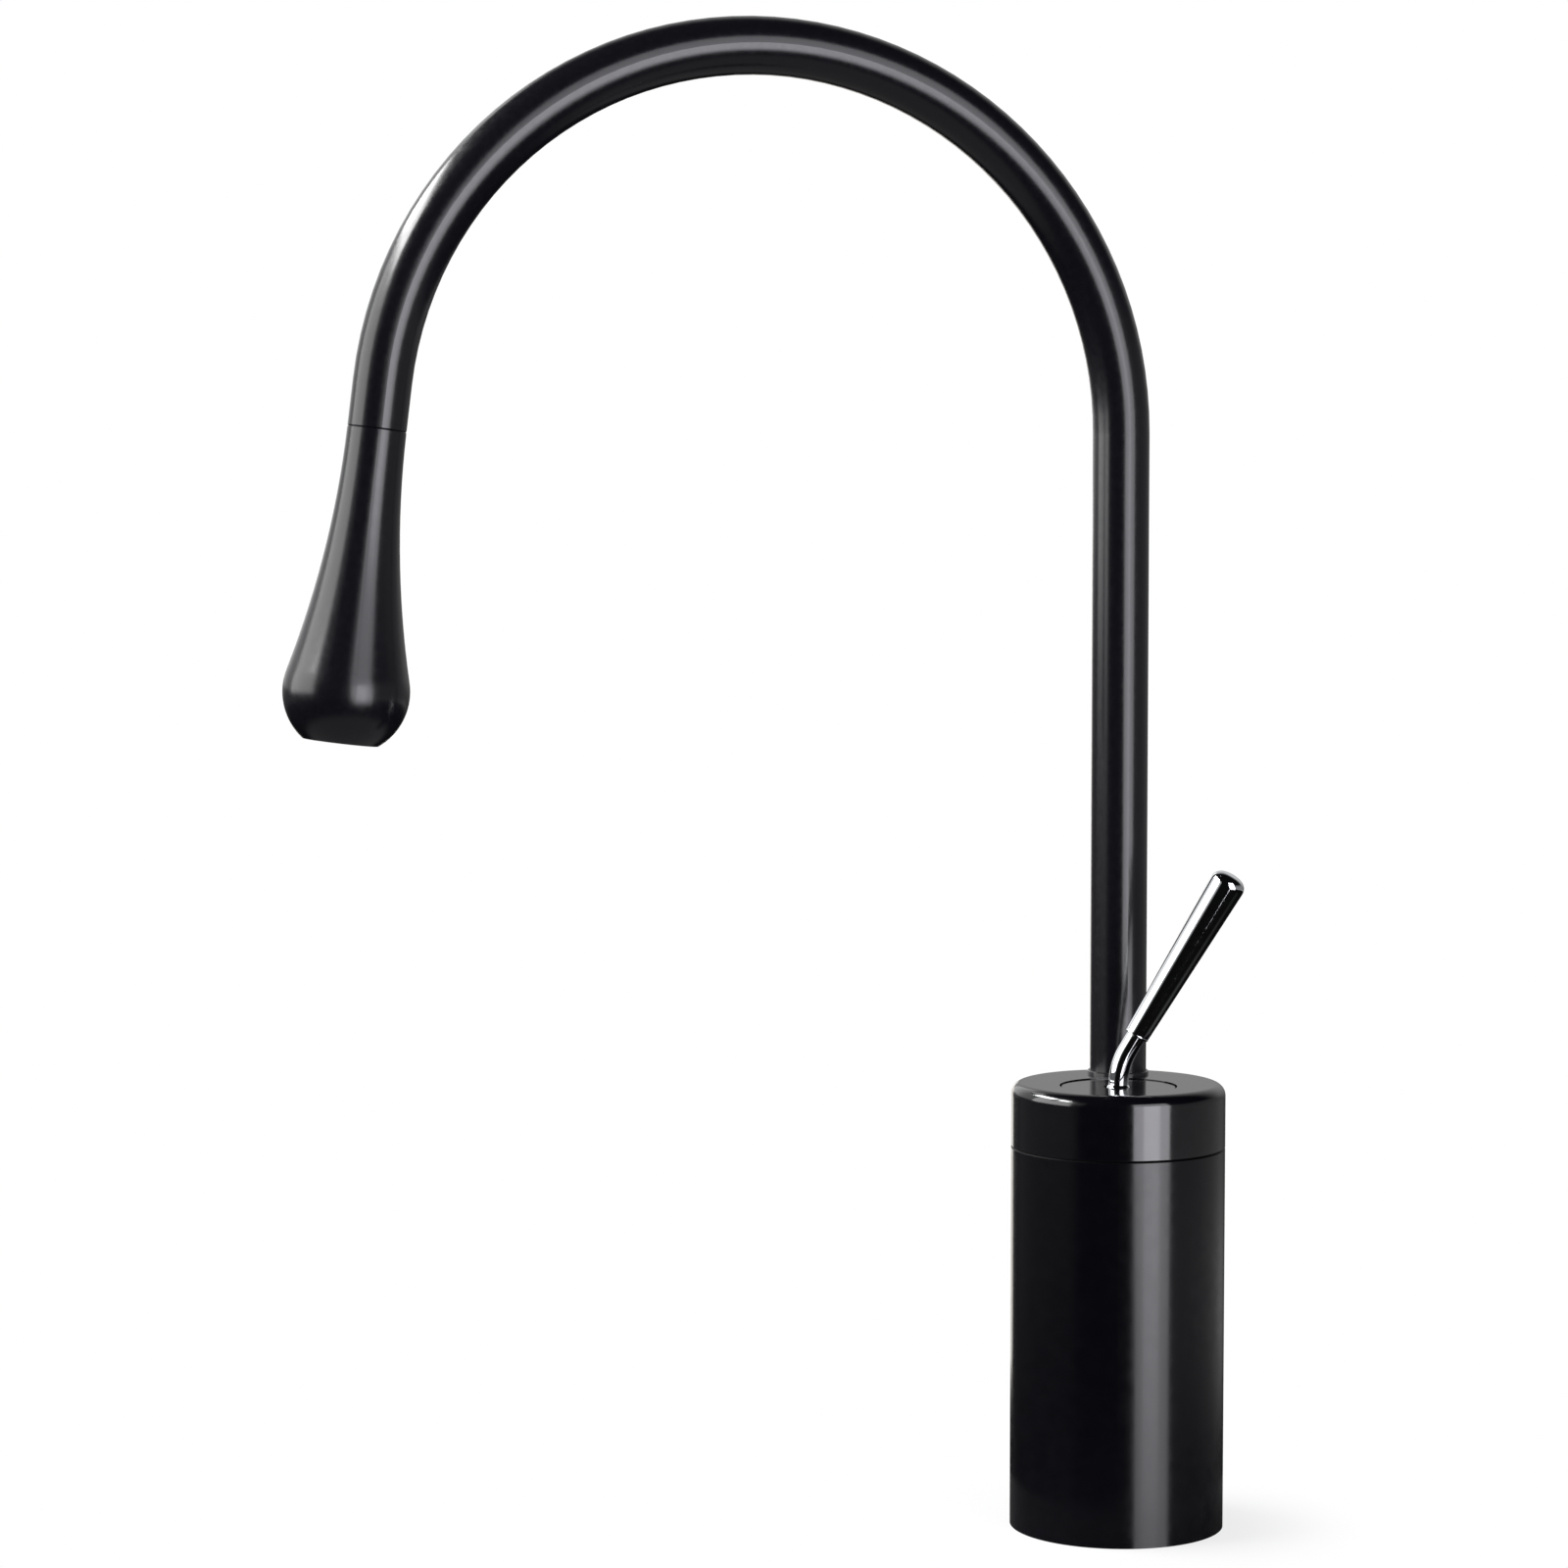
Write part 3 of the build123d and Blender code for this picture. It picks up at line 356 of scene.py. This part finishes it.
# %% Helpers for a finish
micron = 1e-6


def new_finish(name, metallic, specular):
    """A material with one shader and the constants that are the same all over it."""
    made = bpy.data.materials.new(name)
    made.use_nodes = True
    shader = made.node_tree.nodes["Principled BSDF"]
    shader.inputs["Metallic"].default_value = metallic
    shader.inputs["Specular IOR Level"].default_value = specular
    return made, shader


def place_group(material, group, **values):
    """Puts a shared effect into a material with its own values."""
    box = material.node_tree.nodes.new("ShaderNodeGroup")
    box.node_tree = group
    for label, value in values.items():
        box.inputs[label].default_value = value
    return box


def bump(material, shader, height, depth):
    """Lets a height move the surface's normal, by a depth in metres."""
    node = material.node_tree.nodes.new("ShaderNodeBump")
    node.inputs["Strength"].default_value = 1.0
    node.inputs["Distance"].default_value = depth
    material.node_tree.links.new(height, node.inputs["Height"])
    material.node_tree.links.new(node.outputs["Normal"], shader.inputs["Normal"])


def two_colours(material, shader, mask, dark, light):
    """Base colour that goes from dark to light with a mask."""
    mix = material.node_tree.nodes.new("ShaderNodeMix")
    mix.data_type = "RGBA"
    mix.inputs["A"].default_value = (*dark, 1.0)
    mix.inputs["B"].default_value = (*light, 1.0)
    material.node_tree.links.new(mask, mix.inputs["Factor"])
    material.node_tree.links.new(mix.outputs["Result"], shader.inputs["Base Color"])


def patterned_finish(name, pattern, size, roughness, dark, light, metallic=0.0, specular=0.5, depth=0.0):
    """A finish whose roughness, colour and, if it has a depth, height follow one pattern."""
    made, shader = new_finish(name, metallic, specular)
    grain = place_group(made, pattern, Size=size, Low=roughness[0], High=roughness[1])
    made.node_tree.links.new(grain.outputs["Value"], shader.inputs["Roughness"])
    two_colours(made, shader, grain.outputs["Height"], dark, light)
    if depth > 0:
        bump(made, shader, grain.outputs["Height"], depth)
    return made


# %% [markdown]
# ## Black finishes
# The body is brass with a deep black plating that is polished, and the spout has the same black with
# a satin last pass. Both are nearly free of colour of their own: what shows is the shine. A slow
# wave of a micron or so, the orange peel of any coated surface, bends the reflections a little. The
# cap is buffed once more than the sleeve, so it shines brighter above the seam. The seam itself is a
# fine ring where the plating is duller and darker, because metal over the black base colour reflects
# almost nothing. We could cut a deeper groove for it, but in the picture it shows by its dullness
# and darkness, not by its depth.

# %% Gloss black
seam_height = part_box("top_cap")[0][2]
seam_reach = 0.00036
seam_roughness = 0.5
seam_darkening = 0.75
plating_grain = 260.0
plating_wave = 1.5 * micron
plating_dark = (0.0017, 0.0016, 0.0026)
plating_light = (0.0027, 0.0025, 0.0038)


def black_gloss(name, specular, roughness):
    """Polished black plating with a chosen strength of shine, between two roughnesses."""
    made, shader = new_finish(name, 0.0, specular)
    grain = place_group(made, unevenness, Size=plating_grain, Low=roughness[0], High=roughness[1])
    seam = place_group(made, dull_ring, Height=seam_height, Reach=seam_reach, Ring=seam_roughness)
    # At the seam the shader turns partly metallic. Metal with this black base colour reflects almost
    # nothing, so the ring is darker.
    darker_seam = node_math(made.node_tree, "MULTIPLY", seam.outputs["Mask"], seam_darkening)
    links = made.node_tree.links
    links.new(darker_seam, shader.inputs["Metallic"])
    links.new(grain.outputs["Value"], seam.inputs["Around"])
    links.new(seam.outputs["Value"], shader.inputs["Roughness"])
    two_colours(made, shader, grain.outputs["Height"], plating_dark, plating_light)
    bump(made, shader, grain.outputs["Height"], plating_wave)
    return made


gloss_black = black_gloss("gloss_black", specular=0.4, roughness=(0.14, 0.19))
cap_black = black_gloss("cap_black", specular=0.66, roughness=(0.1, 0.14))
print("two black glosses, with a dull ring at", round(seam_height, 4))

# %% Satin black
satin_black = patterned_finish(
    "satin_black", unevenness, size=600.0, roughness=(0.19, 0.24),
    dark=(0.0036, 0.0034, 0.0052), light=(0.0062, 0.006, 0.0085), depth=0.6 * micron)
print("satin black for the spout")

# %% [markdown]
# ## Metals
# The lever is mirror chrome with faint polishing marks round it. Inside, the casting is bare brass:
# grainy where it was cast, with a dull film. The screws, the pin and the spring clip are plain
# stainless steel with fine turning lines. We could use one smooth metal in three colours, but what
# tells them apart is how they are worked, so each has its own marks.

# %% Chrome
chrome = patterned_finish(
    "chrome", polish_marks, size=900.0, roughness=(0.03, 0.06),
    dark=(0.74, 0.76, 0.78), light=(0.82, 0.84, 0.86), metallic=1.0)
print("mirror chrome, without bumps")

# %% Brass
brass = patterned_finish(
    "brass", unevenness, size=500.0, roughness=(0.26, 0.42),
    dark=(0.50, 0.36, 0.16), light=(0.70, 0.55, 0.29), metallic=1.0, depth=30 * micron)
print("cast brass")

# %% Stainless steel
stainless = patterned_finish(
    "stainless", polish_marks, size=1800.0, roughness=(0.2, 0.34),
    dark=(0.50, 0.50, 0.51), light=(0.64, 0.64, 0.65), metallic=1.0, depth=4 * micron)
print("turned stainless steel")

# %% [markdown]
# ## Rubber, plastics and ceramic
# None of these shows in the portrait, but they show when the tap is opened up or seen from below.
# Rubber is dull and slightly dusty. The moulded plastics carry a fine spark-eroded grain from the
# mould, and the lapped ceramic is smooth with faint grey clouds. We could leave them plain, since
# they hardly show, but a single flat colour looks like a toy as soon as it does.

# %% Rubber
rubber = patterned_finish(
    "rubber", unevenness, size=900.0, roughness=(0.55, 0.75),
    dark=(0.014, 0.014, 0.014), light=(0.034, 0.034, 0.033), specular=0.35, depth=20 * micron)
print("rubber")

# %% Plastics
white_plastic = patterned_finish(
    "white_plastic", unevenness, size=1300.0, roughness=(0.34, 0.48),
    dark=(0.66, 0.66, 0.63), light=(0.76, 0.76, 0.74), depth=10 * micron)
grey_plastic = patterned_finish(
    "grey_plastic", unevenness, size=1300.0, roughness=(0.36, 0.5),
    dark=(0.25, 0.26, 0.27), light=(0.33, 0.34, 0.35), depth=10 * micron)
black_plastic = patterned_finish(
    "black_plastic", unevenness, size=700.0, roughness=(0.1, 0.2),
    dark=(0.012, 0.012, 0.014), light=(0.024, 0.024, 0.027), depth=2 * micron)
print("white, grey and black plastic")

# %% Ceramic
ceramic_disc = patterned_finish(
    "ceramic_disc", unevenness, size=350.0, roughness=(0.08, 0.16),
    dark=(0.80, 0.79, 0.75), light=(0.89, 0.88, 0.85), depth=1 * micron)
print("lapped ceramic")

# %% [markdown]
# ## Putting the finishes on
# The record says which finish each piece of the frame was made with. We could paint the pieces one by
# one, but a walk through the record forgets none. Only the cap and the lever's plate get a finish of
# their own, because they are the pieces that were buffed once more.

# %% Put the finishes on
by_slot = {
    "gloss_black": gloss_black,
    "satin_black": satin_black,
    "chrome": chrome,
    "brass": brass,
    "stainless": stainless,
    "rubber": rubber,
    "white_plastic": white_plastic,
    "grey_plastic": grey_plastic,
    "black_plastic": black_plastic,
    "ceramic_disc": ceramic_disc,
}
by_node = {"top_cap": cap_black, "lever_plate": cap_black}
for row in frame["record"]["subparts"]:
    finish = by_node.get(row["node"], by_slot[row["material_slot"]])
    for slot in nodes[row["node"]].material_slots:
        slot.material = finish

# %% [markdown]
# ## The foot ring
# Where the handle screws onto its neck, a slim rounded ring closes the joint. In the picture it is the
# string of bright glints between the two. A torus would be the quick way, but a turned ring has flat
# ends and a bore, so a short cylinder is bored through and its outer edges are rounded. Its place is
# measured on the handle itself, so that the two can't come apart.

# %% Where the handle ends
handle_lean = math.radians(30.4)
handle_axis = Vector((0, math.sin(handle_lean), math.cos(handle_lean)))
foot_slice = 0.00002

handle_points = [v.co for v in nodes["lever_handle"].data.vertices]
foot_level = min(p.dot(handle_axis) for p in handle_points)
foot_points = [p for p in handle_points if p.dot(handle_axis) < foot_level + foot_slice]
foot_low = Vector([min(p[i] for p in foot_points) for i in range(3)])
foot_high = Vector([max(p[i] for p in foot_points) for i in range(3)])
foot_middle = (foot_low + foot_high) / 2
print("the handle's foot is at", [round(x, 4) for x in foot_middle])

# %% Helpers for a piece
def start_piece(name):
    """Names the new primitive, which then lies at the origin with its place in its mesh."""
    piece = bpy.context.object
    piece.name = name
    bpy.ops.object.transform_apply(location=True, rotation=True, scale=True)
    return piece


def pick_in_edit(piece, kind, wanted):
    """Selects the faces or edges of a piece, by their place, and opens it for editing."""
    bpy.ops.object.mode_set(mode="EDIT")
    bpy.ops.mesh.select_mode(type=kind)
    bpy.ops.mesh.select_all(action="DESELECT")
    bpy.ops.object.mode_set(mode="OBJECT")
    mesh = piece.data
    parts = mesh.polygons if kind == "FACE" else mesh.edges
    count = 0
    for part in parts:
        spots = [mesh.vertices[i].co for i in part.vertices]
        part.select = wanted(spots)
        count += part.select
    bpy.ops.object.mode_set(mode="EDIT")
    return count


def close_edit():
    """Turns all faces outwards and leaves edit mode."""
    bpy.ops.mesh.select_all(action="SELECT")
    bpy.ops.mesh.normals_make_consistent(inside=False)
    bpy.ops.object.mode_set(mode="OBJECT")


print("three helpers: start_piece, pick_in_edit and close_edit")

# %% Foot ring
ring_radius = 0.00345
ring_bore = 0.00274
ring_height = 0.0008
ring_sides = 64
ring_round = 0.00032
round_steps = 5
smooth_below = math.radians(40)
same_level = 0.00001


def is_end(spots):
    """An end of the cylinder has a corner for each side, and a side has only four."""
    return len(spots) == ring_sides


def from_axis(spot):
    """How far a point lies from the handle's axis."""
    out = spot - foot_middle
    return (out - handle_axis * out.dot(handle_axis)).length


def is_outer_edge(spots):
    """An edge that runs round the outside, at one level along the handle's axis."""
    level = abs((spots[0] - spots[1]).dot(handle_axis)) < same_level
    return level and min(from_axis(s) for s in spots) > ring_radius * 0.99


bpy.ops.object.select_all(action="DESELECT")
bpy.ops.mesh.primitive_cylinder_add(
    vertices=ring_sides, radius=ring_radius, depth=ring_height,
    location=foot_middle, rotation=(-handle_lean, 0, 0))
foot_ring = start_piece("foot_ring")
ends = pick_in_edit(foot_ring, "FACE", is_end)
bpy.ops.mesh.inset(thickness=ring_radius - ring_bore)
bpy.ops.mesh.bridge_edge_loops()
outer = pick_in_edit(foot_ring, "EDGE", is_outer_edge)
bpy.ops.mesh.bevel(offset=ring_round, segments=round_steps, affect="EDGES")
close_edit()
bpy.ops.object.shade_smooth_by_angle(angle=smooth_below)
foot_ring.data.materials.append(chrome)
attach(foot_ring, "lever")
print("foot ring:", ends, "ends,", outer, "outer edges,", len(foot_ring.data.polygons), "faces")

# %% [markdown]
# ## The threads under the deck
# Two hose tails and one stud screw into the casting from below. The frame only has their plain bores,
# because a thread is too fine for its joints and sizes. We could stack rings up the bore, but a bolt
# can't climb rings. The ridge of a thread is a small square set on its corner, swept round and up by
# one pitch a turn, which is just what a screw modifier does. Each ridge starts from its mount in the
# record, so it sits where the bore is.

# %% A thread ridge
steps_a_turn = 28
# The ridge's half diagonal and the height of its first turn over the mouth, in pitches.
ridge_half = 0.3
ridge_start = 0.6


def thread_ridge(name, mouth, radius, length, pitch):
    """A ridge that winds up the wall of a bore, from just inside its mouth."""
    turns = int(length / pitch) - 1
    bpy.ops.object.select_all(action="DESELECT")
    bpy.ops.mesh.primitive_circle_add(
        vertices=4, radius=pitch * ridge_half, fill_type="NOTHING",
        location=(radius, 0, pitch * ridge_start), rotation=(math.radians(90), 0, 0))
    ridge = start_piece(name)
    winding = ridge.modifiers.new("winding", "SCREW")
    winding.screw_offset = pitch
    winding.iterations = turns
    winding.steps = steps_a_turn
    winding.render_steps = steps_a_turn
    winding.use_smooth_shade = False
    bpy.ops.object.modifier_apply(modifier="winding")
    ridge.location = mouth
    bpy.ops.object.transform_apply(location=True, rotation=True, scale=True)
    bpy.ops.object.mode_set(mode="EDIT")
    bpy.ops.mesh.select_mode(type="VERT")
    bpy.ops.mesh.select_all(action="DESELECT")
    bpy.ops.mesh.select_non_manifold()
    bpy.ops.mesh.edge_face_add()
    close_edit()
    ridge.data.materials.append(brass)
    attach(ridge, "body")
    print(name, "has", turns, "turns and", len(ridge.data.polygons), "faces")


print("one helper: thread_ridge")

# %% Thread ridges
mm_in_a_metre = 1000
pitches = {"stud_hole": 0.00125, "hot_hose": 0.001, "cold_hose": 0.001}
for mount in frame["record"]["mounts"]:
    if mount["name"] in pitches:
        bore = mount["dims"]
        thread_ridge(
            mount["name"] + "_thread", mount["pos_m"], bore["r_mm"] / mm_in_a_metre,
            bore["length_mm"] / mm_in_a_metre, pitches[mount["name"]])

# %% [markdown]
# ## The floor
# The tap stands on a small round of white paper. It catches the soft shadow round the foot, and it
# fades into the white backdrop before its edge. A large floor would throw its own grey over the whole
# lower half of the black body, which the picture doesn't show, so the paper is nearly clear to
# reflections. It is clear from below as well, so that the underside can be looked at.

# %% A round of paper
floor_radius = 0.075
floor_corners = 96

bpy.ops.object.select_all(action="DESELECT")
bpy.ops.mesh.primitive_circle_add(
    vertices=floor_corners, radius=floor_radius, fill_type="NGON", location=(0, 0, 0))
floor = bpy.context.object
floor.name = "floor"
print("floor radius", floor_radius)

# %% Paper
paper_colour = (0.9, 0.9, 0.9, 1.0)
paper_roughness = 0.9
paper_shine = 0.0
# The paper's own glow takes over from the lit paper between these two radii.
fade_start = 0.03
fade_end = floor_radius * 0.96
least_glow = 0.78
clear_in_gloss = 0.94

paper = bpy.data.materials.new("paper")
paper.use_nodes = True
sheet = paper.node_tree
matt = sheet.nodes["Principled BSDF"]
matt.inputs["Base Color"].default_value = paper_colour
matt.inputs["Roughness"].default_value = paper_roughness
matt.inputs["Specular IOR Level"].default_value = paper_shine
glow = sheet.nodes.new("ShaderNodeEmission")
clear = sheet.nodes.new("ShaderNodeBsdfTransparent")
paper_rays = sheet.nodes.new("ShaderNodeLightPath")
side = sheet.nodes.new("ShaderNodeNewGeometry")
spot = sheet.nodes.new("ShaderNodeTexCoord")
reach = sheet.nodes.new("ShaderNodeVectorMath")
reach.operation = "LENGTH"
sheet.links.new(spot.outputs["Object"], reach.inputs[0])

fade = smooth_step(sheet, reach.outputs["Value"], fade_start, fade_end, low=least_glow)
glow_share = node_math(sheet, "MULTIPLY", fade, paper_rays.outputs["Is Camera Ray"])
clear_share = node_math(sheet, "MULTIPLY", paper_rays.outputs["Is Glossy Ray"], clear_in_gloss)
lit_or_glow = choose_shader(sheet, glow_share, matt.outputs["BSDF"], glow.outputs["Emission"])
thin_in_gloss = choose_shader(sheet, clear_share, lit_or_glow, clear.outputs["BSDF"])
open_from_below = choose_shader(sheet, side.outputs["Backfacing"], thin_in_gloss, clear.outputs["BSDF"])
sheet.links.new(open_from_below, sheet.nodes["Material Output"].inputs["Surface"])
floor.data.materials.append(paper)
print("paper:", len(sheet.nodes), "nodes")
